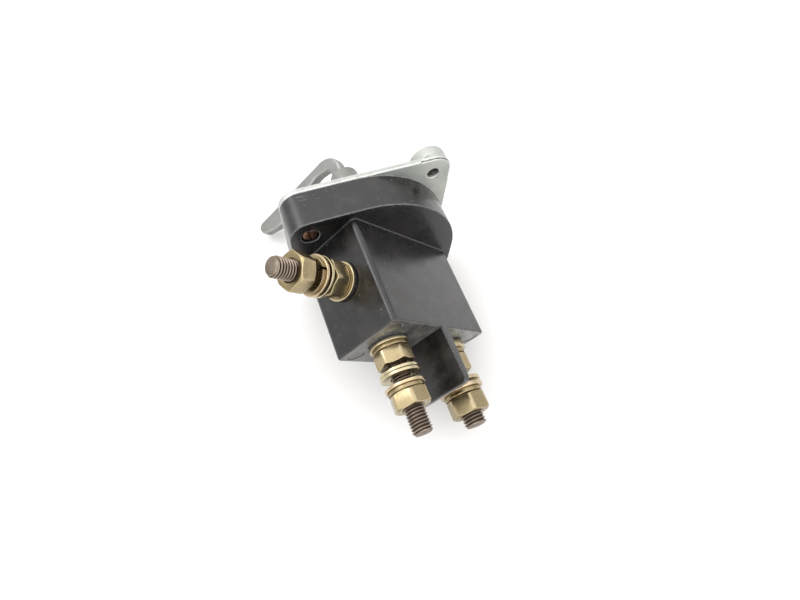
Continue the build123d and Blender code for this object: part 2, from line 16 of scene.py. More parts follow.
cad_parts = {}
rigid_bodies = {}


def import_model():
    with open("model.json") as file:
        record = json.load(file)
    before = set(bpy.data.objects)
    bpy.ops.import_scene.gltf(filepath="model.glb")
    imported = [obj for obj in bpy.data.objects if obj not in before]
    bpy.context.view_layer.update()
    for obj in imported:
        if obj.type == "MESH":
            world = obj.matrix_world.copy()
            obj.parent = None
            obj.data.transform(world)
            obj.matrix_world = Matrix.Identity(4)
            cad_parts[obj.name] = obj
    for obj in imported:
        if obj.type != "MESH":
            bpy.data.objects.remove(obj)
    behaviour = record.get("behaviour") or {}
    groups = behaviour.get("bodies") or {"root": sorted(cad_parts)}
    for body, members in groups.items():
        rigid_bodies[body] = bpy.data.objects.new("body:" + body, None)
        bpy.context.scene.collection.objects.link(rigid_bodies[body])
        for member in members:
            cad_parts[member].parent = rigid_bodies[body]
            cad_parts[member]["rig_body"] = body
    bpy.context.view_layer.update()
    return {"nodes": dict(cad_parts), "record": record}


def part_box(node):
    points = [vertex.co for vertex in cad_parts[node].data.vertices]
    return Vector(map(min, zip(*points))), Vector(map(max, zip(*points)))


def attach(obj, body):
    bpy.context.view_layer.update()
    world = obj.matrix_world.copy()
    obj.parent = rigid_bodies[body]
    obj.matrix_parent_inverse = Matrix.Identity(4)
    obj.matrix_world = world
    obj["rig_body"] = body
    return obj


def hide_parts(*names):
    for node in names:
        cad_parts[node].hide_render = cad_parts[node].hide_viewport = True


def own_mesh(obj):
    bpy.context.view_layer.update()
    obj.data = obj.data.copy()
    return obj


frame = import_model()
MM = 0.001

# ---------------------------------------------------------------- where the CAD's solids are
LOWER_AXIS = Vector((0, 1, 0))
SIDE_AXIS = Vector((1, 0, 1)).normalized()
SHAFTS = {"left": LOWER_AXIS, "right": LOWER_AXIS, "side": SIDE_AXIS}


def welded(node):
    """A bmesh of a CAD node with the corners that its faces share joined again."""
    bm = bmesh.new()
    bm.from_mesh(frame["nodes"][node].data)
    bmesh.ops.remove_doubles(bm, verts=bm.verts, dist=0.001 * MM)
    return bm


def solids(node):
    """The corner points of each separate solid of a CAD node."""
    bm = welded(node)
    found = []
    for seed in bm.verts:
        if seed.tag:
            continue
        seed.tag = True
        waiting, corners = [seed], []
        while waiting:
            vert = waiting.pop()
            corners.append(vert.co.copy())
            for edge in vert.link_edges:
                other = edge.other_vert(vert)
                if not other.tag:
                    other.tag = True
                    waiting.append(other)
        found.append(corners)
    bm.free()
    return found


def middle(corners):
    """The middle of the box round some points."""
    lo = Vector(min(c[i] for c in corners) for i in range(3))
    hi = Vector(max(c[i] for c in corners) for i in range(3))
    return (lo + hi) / 2


def span(corners, axis):
    """The lowest and highest reach of some points along an axis, from the row's origin."""
    reach = [c.dot(axis) for c in corners]
    return min(reach), max(reach)


shaft_middles = {}
for place in SHAFTS:
    lo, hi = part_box(f"{place}_stud")
    shaft_middles[place] = (lo + hi) / 2


def off_shaft(point, place):
    """The part of the way from a shaft's line to a point that is square to the line."""
    away = point - shaft_middles[place]
    return away - away.dot(SHAFTS[place]) * SHAFTS[place]


def nearest_shaft(point):
    return min(SHAFTS, key=lambda place: off_shaft(point, place).length)


def on_shaft(place, reach, turn=0.0, tilt=0.0):
    """The matrix that stands a mesh on a shaft's line, its z outward, turned and tilted in degrees."""
    axis = SHAFTS[place]
    foot = shaft_middles[place] + (reach - shaft_middles[place].dot(axis)) * axis
    stand = axis.to_track_quat("Z", "Y").to_matrix().to_4x4()
    return (Matrix.Translation(foot) @ stand @ Matrix.Rotation(radians(turn), 4, "Z")
            @ Matrix.Rotation(radians(tilt), 4, "X"))


# ---------------------------------------------------------------- mesh tools
def ring(radii, heights, angles):
    """One ring of points; radii and heights are numbers or lists as long as the angles."""
    count = len(angles)
    radii = radii if hasattr(radii, "__len__") else [radii] * count
    heights = heights if hasattr(heights, "__len__") else [heights] * count
    return [Vector((r * cos(a), r * sin(a), z)) for r, z, a in zip(radii, heights, angles)]


def even_angles(count):
    return [2 * pi * i / count for i in range(count)]


def skin(rings, closed=True, wrap=True):
    """A bmesh with faces between successive rings.

    closed joins the ends of each ring, and wrap joins the last ring to the first.
    """
    bm = bmesh.new()
    rows = [[bm.verts.new(point) for point in points] for points in rings]
    pairs = list(zip(rows, rows[1:])) + ([(rows[-1], rows[0])] if wrap else [])
    for low, high in pairs:
        count = len(low)
        for i in range(count if closed else count - 1):
            j = (i + 1) % count
            bm.faces.new((low[i], low[j], high[j], high[i]))
    return bm


def rounded_section(inner, outer, low, high, edge, steps=3):
    """A closed profile in radius and height: a rectangle with rounded corners."""
    corners = ((outer - edge, low + edge, -pi / 2), (outer - edge, high - edge, 0),
               (inner + edge, high - edge, pi / 2), (inner + edge, low + edge, pi))
    return [(r + edge * cos(start + pi / 2 * k / steps), z + edge * sin(start + pi / 2 * k / steps))
            for r, z, start in corners for k in range(steps + 1)]


def mark_wear(mesh, sharpest=0.35 * MM):
    """Stores how sharply each point of a mesh sticks out ("wear") or dips in ("hollow").

    Both run from 0 on a flat to 1 at an edge or a groove of the sharpest radius.
    """
    count = len(mesh.vertices)
    co = np.empty(count * 3)
    mesh.vertices.foreach_get("co", co)
    normals = np.empty(count * 3)
    mesh.vertices.foreach_get("normal", normals)
    ends = np.empty(len(mesh.edges) * 2, int)
    mesh.edges.foreach_get("vertices", ends)
    co, normals, ends = co.reshape(-1, 3), normals.reshape(-1, 3), ends.reshape(-1, 2)
    a, b = ends[:, 0], ends[:, 1]
    along = co[b] - co[a]
    bend = ((normals[b] - normals[a]) * along).sum(1) / np.maximum((along ** 2).sum(1), 1e-12)
    total, edges_at = np.zeros(count), np.zeros(count)
    for side in (a, b):
        np.add.at(total, side, bend)
        np.add.at(edges_at, side, 1)
    bend = total / np.maximum(edges_at, 1) * 2 * sharpest
    for name, amount in (("wear", bend), ("hollow", -bend)):
        if name not in mesh.attributes:
            mesh.attributes.new(name, "FLOAT", "POINT")
        mesh.attributes[name].data.foreach_set("value", np.clip(amount, 0, 1).astype(np.float32))


def to_object(bm, name, matrix=None, sharp_deg=40, shift=0):
    """A mesh object from a bmesh: smooth, but creased where faces meet at more than the given angle.

    Its points are moved by the matrix. Where they were before, plus shift along each axis, stays
    stored as "local", so that the pattern of a turned piece follows its own axis.
    """
    bmesh.ops.recalc_face_normals(bm, faces=bm.faces)
    for face in bm.faces:
        face.smooth = True
    for edge in bm.edges:
        edge.smooth = not (edge.is_manifold and edge.calc_face_angle(0) > radians(sharp_deg))
    mesh = bpy.data.meshes.new(name)
    bm.to_mesh(mesh)
    bm.free()
    mark_wear(mesh)
    co = np.empty(len(mesh.vertices) * 3, np.float32)
    mesh.vertices.foreach_get("co", co)
    mesh.attributes.new("local", "FLOAT_VECTOR", "POINT").data.foreach_set("vector", co + shift)
    mesh.transform(matrix or Matrix.Identity(4))
    piece = bpy.data.objects.new(name, mesh)
    bpy.context.scene.collection.objects.link(piece)
    return piece


def applied(piece):
    """The same object, its mesh replaced by the one that its modifiers make of it."""
    mesh = bpy.data.meshes.new_from_object(piece.evaluated_get(bpy.context.evaluated_depsgraph_get()))
    piece.modifiers.clear()
    piece.data = mesh
    return piece


def dress(piece, node, material):
    """Gives a new piece its material and the body of the CAD node that it stands for, and hides that node.
    """
    piece.data.materials.clear()
    piece.data.materials.append(material)
    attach(piece, frame["nodes"][node]["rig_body"])
    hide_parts(node)


# The record's material slot of each CAD node
slot_of = {part["node"]: part["material_slot"] for part in frame["record"]["subparts"]}


# ---------------------------------------------------------------- material tools
class Nodes:
    """One material under construction. Lengths are given in millimetres."""

    def __init__(self, name, local=False):
        self.material = bpy.data.materials.new(name)
        self.material.use_nodes = True
        self.tree = self.material.node_tree
        self.tree.nodes.clear()
        if local:
            self.place = self.add("ShaderNodeAttribute", attribute_name="local").outputs["Vector"]
        else:
            self.place = self.add("ShaderNodeTexCoord").outputs["Object"]

    def add(self, kind, inputs=None, **settings):
        node = self.tree.nodes.new(kind)
        for key, value in settings.items():
            setattr(node, key, value)
        for key, value in (inputs or {}).items():
            if isinstance(value, bpy.types.NodeSocket):
                self.tree.links.new(value, node.inputs[key])
            else:
                node.inputs[key].default_value = value
        return node

    def stretched(self, stretch):
        return self.add("ShaderNodeMapping", {"Vector": self.place, "Scale": stretch}).outputs["Vector"]

    def noise(self, size, detail=3.0, rough=0.55, stretch=None):
        """Noise whose blobs are about size mm across, divided along each axis by stretch."""
        vector = self.stretched(stretch) if stretch else self.place
        return self.add("ShaderNodeTexNoise", {"Vector": vector, "Scale": 1 / (size * MM), "Detail": detail,
                                               "Roughness": rough}).outputs["Fac"]

    def spots(self, size, radius):
        """1 inside small round spots that sit about size mm apart, and 0 elsewhere."""
        cells = self.add("ShaderNodeTexVoronoi", {"Vector": self.place, "Scale": 1 / (size * MM)})
        return self.fade(cells.outputs["Distance"], radius, radius * 0.5)

    def fade(self, value, low, high, to_low=0.0, to_high=1.0):
        """Turns low..high into to_low..to_high, smoothly and held at both ends."""
        return self.add("ShaderNodeMapRange", {"Value": value, "From Min": low, "From Max": high,
                                               "To Min": to_low, "To Max": to_high},
                        interpolation_type="SMOOTHSTEP").outputs["Result"]

    def math(self, operation, a, b=0.0):
        return self.add("ShaderNodeMath", {0: a, 1: b}, operation=operation, use_clamp=False).outputs[0]

    def mix(self, share, a, b):
        """The colour a, or b where share is 1."""
        return self.add("ShaderNodeMix", {0: share, 6: a, 7: b}, data_type="RGBA").outputs[2]

    def stored(self, name):
        """A number stored on the mesh: "wear" on outer edges or "hollow" in grooves."""
        return self.add("ShaderNodeAttribute", attribute_name=name).outputs["Fac"]

    def openness(self, reach, inside=False):
        """The share of directions in which the piece's own faces leave reach mm free, out or inside it."""
        return self.add("ShaderNodeAmbientOcclusion", {"Distance": reach * MM}, samples=8, inside=inside,
                        only_local=True).outputs["AO"]

    def edges(self, reach, open_over):
        """1 at convex edges, fading out over reach mm, if the solid leaves open_over mm clear there."""
        near_edge = self.fade(self.openness(reach, inside=True), 0.97, 0.62)
        return self.math("MULTIPLY", near_edge, self.fade(self.openness(open_over), 0.8, 0.97))

    def enclosed(self, reach):
        """1 deep in holes, where the solid closes off most of the space within reach mm."""
        return self.fade(self.openness(reach), 0.5, 0.25)

    def creases(self, radius):
        """1 where a surface turns within radius mm, whichever way."""
        soft = self.add("ShaderNodeBevel", {"Radius": radius * MM}, samples=4).outputs["Normal"]
        hard = self.add("ShaderNodeNewGeometry").outputs["Normal"]
        cosine = self.add("ShaderNodeVectorMath", {0: soft, 1: hard}, operation="DOT_PRODUCT")
        return self.fade(cosine.outputs["Value"], 0.995, 0.93)

    def bump(self, height, depth, under=None):
        """A bump whose height 0..1 stands for depth mm."""
        inputs = {"Height": height, "Distance": depth * MM, "Strength": 1.0}
        if under:
            inputs["Normal"] = under
        return self.add("ShaderNodeBump", inputs).outputs["Normal"]

    def surface(self, colour, roughness, normal, **constants):
        shader = self.add("ShaderNodeBsdfPrincipled", {"Base Color": colour, "Roughness": roughness,
                                                       "Normal": normal, **constants})
        self.add("ShaderNodeOutputMaterial", {"Surface": shader.outputs["BSDF"]})
        return self.material


def rgb(red, green, blue):
    """A node colour from an sRGB one of 0..255."""
    return (*[(c / 255 / 12.92 if c <= 10 else ((c / 255 + 0.055) / 1.055) ** 2.4)
              for c in (red, green, blue)], 1.0)


# ---------------------------------------------------------------- materials
def metal(name, colour, tarnish, bright, roughness, patch=7.0, grain=0.25, grain_depth=0.02,
          stretch=None, dirt_and_shade=None, dirt_share=0.5, painted_shade_in_holes=False, local=False):
    """A worn metal: patches of tarnish, grain or machining lines, scratches, soiled patches, painted shade
    in grooves and holes, and bright edges.

    The sizes of its patches and grain are in mm, and roughness is its lowest and highest.
    """
    n = Nodes(name, local)
    patches = n.fade(n.noise(patch, 4.0, 0.6), 0.38, 0.66)
    fine = n.noise(grain, 3.0, 0.6, stretch)
    scratches = n.fade(n.noise(0.5, 2.0, 0.5, (0.06, 1.0, 1.0)), 0.62, 0.7)
    edges = n.fade(n.math("ADD", n.stored("wear"), n.math("MULTIPLY", n.noise(0.6), 0.35)), 0.42, 0.8)
    base = n.mix(patches, colour, tarnish)
    base = n.mix(n.fade(fine, 0.35, 0.75, 0.0, 0.3), base, bright)
    if dirt_and_shade:
        grime_and_shade = n.fade(n.noise(1.6, 5.0, 0.65), 1 - dirt_share, 1.1 - dirt_share)
        # painted shade: darker in grooves, where the mesh dips in, laid over the soiled patches
        grime_and_shade = n.math("MAXIMUM", n.math("MULTIPLY", grime_and_shade, 0.75), n.fade(n.stored("hollow"), 0.15, 0.6))
        # painted shade deep in holes, where the solid shuts out most of the light
        if painted_shade_in_holes:
            grime_and_shade = n.math("MAXIMUM", grime_and_shade, n.enclosed(8.0))
        base = n.mix(grime_and_shade, base, dirt_and_shade)
    base = n.mix(n.math("MULTIPLY", scratches, 0.3), base, bright)
    base = n.mix(n.math("MULTIPLY", edges, 0.75), base, bright)
    rough = n.fade(n.math("ADD", n.math("MULTIPLY", fine, 0.5), n.math("MULTIPLY", patches, 0.5)),
                   0.2, 0.8, *roughness)
    rough = n.math("SUBTRACT", rough, n.math("MULTIPLY", edges, 0.08))
    normal = n.bump(n.noise(2.5, 2.0), grain_depth * 2)
    normal = n.bump(fine, grain_depth, normal)
    normal = n.bump(scratches, -0.008, normal)
    return n.surface(base, rough, normal, Metallic=1.0)


def bakelite():
    """Moulded black phenolic, semi-gloss: rubbed and chipped edges, painted highlights along its creases,
    smears, hairlines and dust.

    The end faces, which look to the rear, carry dust and a painted sheen, palest beside the right stud.
    """
    n = Nodes("black_phenolic")
    smears = n.fade(n.noise(14.0, 2.0, 0.5), 0.4, 0.75)
    cloud = n.noise(6.0, 3.0, 0.5)
    hairs = n.fade(n.noise(1.1, 2.0, 0.5, (0.05, 1.0, 0.6)), 0.67, 0.7)
    more_hairs = n.fade(n.noise(1.3, 2.0, 0.5, (0.7, 0.9, 0.05)), 0.68, 0.71)
    lines = n.math("MAXIMUM", hairs, more_hairs)
    lines = n.math("MULTIPLY", lines, n.fade(n.noise(9.0), 0.56, 0.66))
    dust = n.math("MULTIPLY", n.spots(2.3, 0.085), n.fade(n.noise(5.0), 0.5, 0.62))
    edges = n.edges(0.75, 6.0)
    rubbed = n.math("MULTIPLY", edges, n.fade(n.noise(1.6, 4.0, 0.6), 0.28, 0.66, 0.35, 1.0))
    chips = n.math("MULTIPLY", n.fade(edges, 0.1, 0.3), n.fade(n.noise(1.1, 5.0, 0.75), 0.6, 0.64))
    # painted highlight: pale lines where the surface turns, as light catching on the fillets
    crease_highlights = n.math("MULTIPLY", n.creases(0.5), n.fade(n.noise(1.4, 4.0, 0.6), 0.3, 0.62))
    face_normal = n.add("ShaderNodeNewGeometry").outputs["Normal"]
    facing = n.add("ShaderNodeSeparateXYZ", {0: face_normal}).outputs["Y"]
    place = n.add("ShaderNodeSeparateXYZ", {0: n.place}).outputs
    past_flange = n.fade(place["Y"], 70 * MM, 76 * MM)
    # dust and painted sheen: paler on the faces that look to the rear
    dust_and_sheen = n.math("MULTIPLY", n.fade(facing, 0.7, 0.95), past_flange)
    dust_and_sheen = n.math("MULTIPLY", dust_and_sheen, n.fade(n.noise(8.0, 5.0, 0.6), 0.3, 0.7, 0.35, 1.0))
    by_right_stud = n.fade(place["X"], 10 * MM, -30 * MM)
    dust_and_sheen_colour = n.mix(by_right_stud, rgb(102, 101, 97), rgb(146, 145, 140))
    smudges = n.fade(n.noise(8.0, 4.0, 0.6), 0.48, 0.75)
    base = n.mix(smears, rgb(12, 12, 13), rgb(27, 24, 23))
    base = n.mix(n.math("MULTIPLY", smudges, 0.35), base, rgb(62, 56, 51))
    base = n.mix(n.math("MULTIPLY", dust_and_sheen, 0.8), base, dust_and_sheen_colour)
    base = n.mix(n.math("MULTIPLY", crease_highlights, 0.4), base, rgb(112, 111, 111))
    base = n.mix(n.math("MULTIPLY", rubbed, 0.75), base, rgb(164, 163, 165))
    base = n.mix(n.math("MULTIPLY", chips, 0.85), base, rgb(186, 183, 178))
    base = n.mix(n.math("MULTIPLY", lines, 0.3), base, rgb(120, 114, 110))
    base = n.mix(n.math("MULTIPLY", dust, 0.85), base, rgb(205, 202, 196))
    rough = n.math("ADD", n.math("MULTIPLY", cloud, 0.4), n.math("MULTIPLY", smears, 0.3))
    rough = n.fade(rough, 0.1, 0.6, 0.26, 0.38)
    normal = n.bump(n.noise(7.0, 1.0), 0.03)
    normal = n.bump(n.noise(0.35, 2.0), 0.002, normal)
    normal = n.bump(lines, -0.006, normal)
    normal = n.bump(dust, 0.03, normal)
    return n.surface(base, rough, normal, Metallic=0.0, IOR=1.55)


def moulded(name, colour, other, roughness):
    """A plain moulded or rubber surface of two close colours."""
    n = Nodes(name)
    cloud = n.noise(2.0, 5.0, 0.6)
    base = n.mix(cloud, colour, other)
    rough = n.fade(cloud, 0.3, 0.7, *roughness)
    normal = n.bump(n.noise(0.4, 3.0), 0.01)
    return n.surface(base, rough, normal, Metallic=0.0)


def stud_steel_material():
    """Threaded steel gone brown: painted shade in the thread roots, rubbed crests."""
    n = Nodes("stud_steel", local=True)
    patches = n.fade(n.noise(3.5, 4.0, 0.6), 0.35, 0.68)
    fine = n.noise(0.18, 3.0, 0.6)
    base = n.mix(patches, rgb(122, 110, 99), rgb(98, 87, 78))
    base = n.mix(n.fade(fine, 0.4, 0.75, 0.0, 0.5), base, rgb(158, 144, 130))
    # painted shade: darker in the thread roots, where the mesh dips in
    base = n.mix(n.fade(n.stored("hollow"), 0.03, 0.35, 0.0, 0.85), base, rgb(54, 45, 39))
    rubbed = n.fade(n.math("ADD", n.stored("wear"), n.math("MULTIPLY", fine, 0.5)), 0.5, 0.95)
    base = n.mix(n.math("MULTIPLY", rubbed, 0.7), base, rgb(166, 151, 136))
    rust = n.fade(n.noise(2.2, 4.0, 0.6), 0.62, 0.7)
    base = n.mix(n.math("MULTIPLY", rust, 0.5), base, rgb(110, 78, 56))
    rough = n.fade(n.math("SUBTRACT", fine, n.math("MULTIPLY", rubbed, 0.4)), 0.0, 0.8, 0.3, 0.55)
    normal = n.bump(n.noise(0.7, 3.0), 0.05)
    normal = n.bump(fine, 0.025, normal)
    return n.surface(base, rough, normal, Metallic=1.0)


cast_alloy = metal("cast_alloy", rgb(184, 186, 181), rgb(174, 177, 171), rgb(206, 208, 205),
                   (0.55, 0.75), patch=14.0, grain=0.45, grain_depth=0.035, dirt_and_shade=rgb(76, 74, 69),
                   dirt_share=0.2, painted_shade_in_holes=True)
lever_alloy = metal("lever_alloy", rgb(142, 142, 139), rgb(132, 132, 128), rgb(172, 172, 170),
                    (0.4, 0.58), patch=12.0, grain=0.45, grain_depth=0.03, dirt_and_shade=rgb(92, 90, 84),
                    dirt_share=0.22)
nut_metal = metal("nut_metal", rgb(144, 129, 94), rgb(130, 116, 83), rgb(184, 168, 136),
                  (0.27, 0.42), patch=9.0, grain=0.3, grain_depth=0.008, stretch=(1.0, 1.0, 0.12),
                  dirt_and_shade=rgb(96, 80, 54), dirt_share=0.22, local=True)
washer_metal = metal("washer_metal", rgb(160, 148, 110), rgb(140, 128, 92), rgb(200, 188, 156),
                     (0.25, 0.4), grain_depth=0.008, dirt_and_shade=rgb(90, 74, 50), dirt_share=0.24, local=True)
coppery_washer = metal("coppery_washer", rgb(166, 142, 112), rgb(152, 130, 96), rgb(202, 184, 154),
                       (0.25, 0.4), grain_depth=0.008, dirt_and_shade=rgb(90, 66, 48), dirt_share=0.24, local=True)
spring_washer_metal = metal("spring_washer_metal", rgb(104, 90, 66), rgb(88, 76, 58), rgb(160, 144, 112),
                            (0.3, 0.46), patch=5.0, grain_depth=0.008, dirt_and_shade=rgb(56, 46, 34),
                            dirt_share=0.24, local=True)
screw_metal = metal("screw_metal", rgb(118, 86, 68), rgb(84, 60, 47), rgb(186, 152, 126),
                    (0.3, 0.5), patch=2.0, grain=0.2, dirt_and_shade=rgb(46, 34, 27), dirt_share=0.42, local=True)
turned_steel = metal("turned_steel", rgb(150, 150, 152), rgb(128, 128, 128), rgb(196, 196, 196),
                     (0.22, 0.38), grain=0.2, stretch=(1.0, 0.1, 1.0))
bush_bronze = metal("bush_bronze", rgb(176, 138, 84), rgb(144, 108, 66), rgb(210, 180, 132), (0.28, 0.45))
copper = metal("copper", rgb(186, 112, 80), rgb(150, 90, 66), rgb(214, 154, 124), (0.25, 0.42))
spring_steel = metal("spring_steel", rgb(140, 140, 144), rgb(104, 104, 110), rgb(186, 186, 190),
                     (0.25, 0.4))
# The material of each of the record's slots
slot_materials = {
    "cast_alloy": cast_alloy, "bakelite": bakelite(), "nut_metal": nut_metal,
    "washer_metal": washer_metal, "stud_steel": stud_steel_material(), "screw_metal": screw_metal,
    "turned_steel": turned_steel, "bush_bronze": bush_bronze, "copper": copper,
    "spring_steel": spring_steel,
    "rotor_phenolic": moulded("rotor_phenolic", rgb(80, 45, 27), rgb(62, 34, 21), (0.35, 0.55)),
    "seal_rubber": moulded("seal_rubber", rgb(26, 26, 26), rgb(36, 35, 34), (0.6, 0.8)),
}
for node_name, node in frame["nodes"].items():
    node.data.materials.clear()
    node.data.materials.append(slot_materials[slot_of[node_name]])


# ---------------------------------------------------------------- studs
class Thread:
    """The radii and sizes of a stud's thread and of its nuts, in metres, from nominal sizes in mm."""

    WORN = 0.05  # how far the crests lie under the nominal size
    DEPTH = 0.57  # of the pitch, from the nominal size to the core
    TIP = 0.9  # how far the turned-down ends lie under the nominal size

    def __init__(self, size, pitch, across_flats):
        self.pitch = pitch * MM
        self.outer = (size / 2 - self.WORN) * MM
        self.core = (size / 2 - self.DEPTH * pitch) * MM
        self.tip = (size / 2 - self.TIP) * MM
        self.nut_flats = across_flats * MM
        self.nut_bore = (size / 2) * MM


M10 = Thread(10, 1.5, 17)
M12 = Thread(12, 1.75, 19)
THREADS = {"left": M10, "right": M12, "side": M10}
STUD_HEAD_R = 8.8 * MM
STUD_HEAD_T = 6.5 * MM
STUD_DOME = 0.45 * MM
STUD_BRUISE = 0.22 * MM  # the deepest dent in a crest
STUD_TIP_SLOPE = 0.9  # how fast the thread grows from the outer tip, in radius per length
# The rings of the domed tip, as (radius as a share of the ring before, share of the dome's height)
STUD_DOME_RINGS = ((0.93, 0.35), (0.8, 0.65), (0.7, 0.85), (0.45, 1.0), (0, 1.0))
WELD = 0.01 * MM  # points nearer than this are joined
# One turn of the thread's profile, as (share of the pitch, share of the way from core to crest)
THREAD_PROFILE = ((0.0, 1.0), (0.07, 1.02), (0.14, 1.0), (0.29, 0.5), (0.43, 0.06), (0.56, 0.0),
                  (0.69, 0.06), (0.84, 0.5))


def threaded_rod(thread, low, high, seed, columns=56):
    """A threaded rod along z with both ends turned down, its crests bruised here and there."""
    shoulder = high - STUD_DOME
    start = low - thread.pitch
    turns = int((high - low) / thread.pitch) + 3
    rings = []
    for turn in range(turns):
        for share, rise in THREAD_PROFILE:
            points = []
            for column in range(columns + 1):
                angle = 2 * pi * column / columns
                z = start + thread.pitch * (turn + share + column / columns)
                place = Vector((cos(angle) * 1.6, sin(angle) * 1.6, z / MM * 0.35 + seed))
                bruise = max(0.0, noise.noise(place))
                crest = thread.outer - STUD_BRUISE * bruise * max(0.0, rise)
                radius = thread.core + rise * (crest - thread.core)
                z = min(max(z, low), shoulder)
                radius = min(radius, thread.tip + (shoulder - z) * STUD_TIP_SLOPE, thread.tip + (z - low))
                points.append(Vector((radius * cos(angle), radius * sin(angle), z)))
            rings.append(points)
    bm = skin(rings, closed=False, wrap=False)
    bmesh.ops.remove_doubles(bm, verts=bm.verts, dist=WELD)
    bmesh.ops.dissolve_degenerate(bm, edges=bm.edges, dist=WELD)
    rim = [edge for edge in bm.edges
           if edge.is_boundary and all(abs(v.co.z - shoulder) < WELD for v in edge.verts)]
    for shrink, rise in STUD_DOME_RINGS:
        grown = bmesh.ops.extrude_edge_only(bm, edges=rim)["geom"]
        for vert in (g for g in grown if isinstance(g, bmesh.types.BMVert)):
            vert.co = Vector((vert.co.x * shrink, vert.co.y * shrink, shoulder + rise * STUD_DOME))
        rim = [g for g in grown if isinstance(g, bmesh.types.BMEdge) and g.is_boundary]
    bmesh.ops.remove_doubles(bm, verts=bm.verts, dist=WELD)
    bmesh.ops.holes_fill(bm, edges=[e for e in bm.edges if e.is_boundary])
    return bm


def stud(place, seed):
    """A terminal stud: a threaded rod with a round head at the foot, inside the housing."""
    node = f"{place}_stud"
    low, high = span([Vector(v.co) for v in frame["nodes"][node].data.vertices], SHAFTS[place])
    rod_start = STUD_HEAD_T - 1 * MM  # the rod stands 1 mm into its head
    bm = threaded_rod(THREADS[place], rod_start, high - low, seed)
    section = rounded_section(0.4 * MM, STUD_HEAD_R, 0, STUD_HEAD_T, 0.5 * MM)
    angles = even_angles(64)
    head = skin([ring(r, z, angles) for r, z in section])
    head_mesh = bpy.data.meshes.new("stud_head")
    head.to_mesh(head_mesh)
    head.free()
    bm.from_mesh(head_mesh)
    bpy.data.meshes.remove(head_mesh)
    piece = to_object(bm, f"threaded_{node}", on_shaft(place, low, turn=40 * seed), shift=seed)
    dress(piece, node, slot_materials["stud_steel"])


for seed, place in enumerate(SHAFTS):
    stud(place, seed)


# ---------------------------------------------------------------- nuts and washers
NUT_CHAMFER_ANGLE = radians(30)
NUT_FACE = 0.965  # the flat face's diameter, as a share of the size across flats
NUT_SOFT = 0.12 * MM  # how far the edges are softened
# The columns of a nut's mesh, in degrees from each corner: close together where the corner is rounded
NUT_COLUMNS = (-30, -23, -16, -10, -6, -3.5, -2, -0.8, 0.8, 2, 3.5, 6, 10, 16, 23)
# How far each nut is turned on its stud, in degrees
NUT_TURNS = {("inner_nuts", "left"): 41, ("inner_nuts", "right"): 50, ("inner_nuts", "side"): 31,
             ("outer_nuts", "left"): 0, ("outer_nuts", "right"): 0, ("outer_nuts", "side"): 0}


def hex_radii(angles, across_flats, corner=0.35 * MM, blend=0.12 * MM):
    """How far a hexagon reaches at each angle, its corners turned down by corner and blended in."""
    reach = across_flats / 2
    limit = across_flats / sqrt(3) - corner
    radii = []
    for angle in angles:
        off_flat = (angle + pi / 6) % (pi / 3) - pi / 6
        radius = reach / cos(off_flat)
        mixed = min(1.0, max(0.0, 0.5 + (limit - radius) / (2 * blend)))
        radii.append(limit + (radius - limit) * mixed - blend * mixed * (1 - mixed))
    return radii


def nut(thread, thickness):
    """A hexagon nut with turned chamfers, a countersunk bore and softened edges."""
    angles = [radians(60 * sector + 30 + offset) for sector in range(6) for offset in NUT_COLUMNS]
    outer = hex_radii(angles, thread.nut_flats)
    face_r = NUT_FACE * thread.nut_flats / 2
    slope = tan(NUT_CHAMFER_ANGLE)
    bore = thread.nut_bore
    face = ((bore, 1.0), (bore + 0.75 * MM, 0.08), (bore + 0.95 * MM, 0.0), (face_r - 0.2 * MM, 0.0),
            (face_r + 0.05 * MM, 0.03))
    lower = [ring(radius, height * MM, angles) for radius, height in face]
    for inset, rise in ((1.6 * NUT_SOFT, 0.0), (0.35 * NUT_SOFT, 0.35 * NUT_SOFT), (0.0, 1.6 * NUT_SOFT)):
        lower.append(ring([r - inset for r in outer],
                          [max(0.03 * MM, (r - inset - face_r) * slope) + rise for r in outer], angles))
    upper = [[Vector((p.x, p.y, thickness - p.z)) for p in points] for points in reversed(lower)]
    return skin(lower + upper)


def flat_washer(inner, outer, thickness, seed):
    """A stamped washer: its edges are rounded, and it is not quite flat."""
    angles = even_angles(96)
    wave = 0.02 * MM
    rings = []
    for r, z in rounded_section(inner, outer, 0, thickness, 0.28 * MM):
        waves = [z + wave * sin(2 * a + seed) * r / outer for a in angles]
        rings.append(ring(r, waves, angles))
    return skin(rings)


def spring_washer(inner, outer, thickness, gap, lift):
    """A split ring of square wire, its ends sprung slightly apart along the axis."""
    section = rounded_section(inner, outer, 0, thickness - lift, 0.22 * MM, steps=2)
    half_gap = gap / 2 / outer
    steps = 90
    rings = []
    for step in range(steps + 1):
        share = step / steps
        angle = half_gap + (2 * pi - 2 * half_gap) * share
        rings.append([Vector((r * cos(angle), r * sin(angle), z + lift * share)) for r, z in section])
    bm = skin(rings, wrap=False)
    bmesh.ops.holes_fill(bm, edges=[e for e in bm.edges if e.is_boundary])
    return bm


hardware = []
for node_name in ("inner_nuts", "outer_nuts", "flat_washers", "spring_washers"):
    for corners in solids(node_name):
        place = nearest_shaft(middle(corners))
        low, high = span(corners, SHAFTS[place])
        radius = max(off_shaft(c, place).length for c in corners)
        hole = min(off_shaft(c, place).length for c in corners)
        hardware.append({"node": node_name, "place": place, "low": low, "high": high,
                         "radius": radius, "hole": hole})
hardware.sort(key=lambda h: (h["place"], h["low"]))

# In degrees: how much a loose washer may tilt, and how washers are turned, per place in the row
WASHER_TILT = 1.2
FLAT_WASHER_TURN = 77
SPRING_WASHER_TURN = 70
SPRING_WASHER_START = 115
SPRING_WASHER_GAP = 1.4 * MM
SPRING_WASHER_LIFT = 0.12 * MM

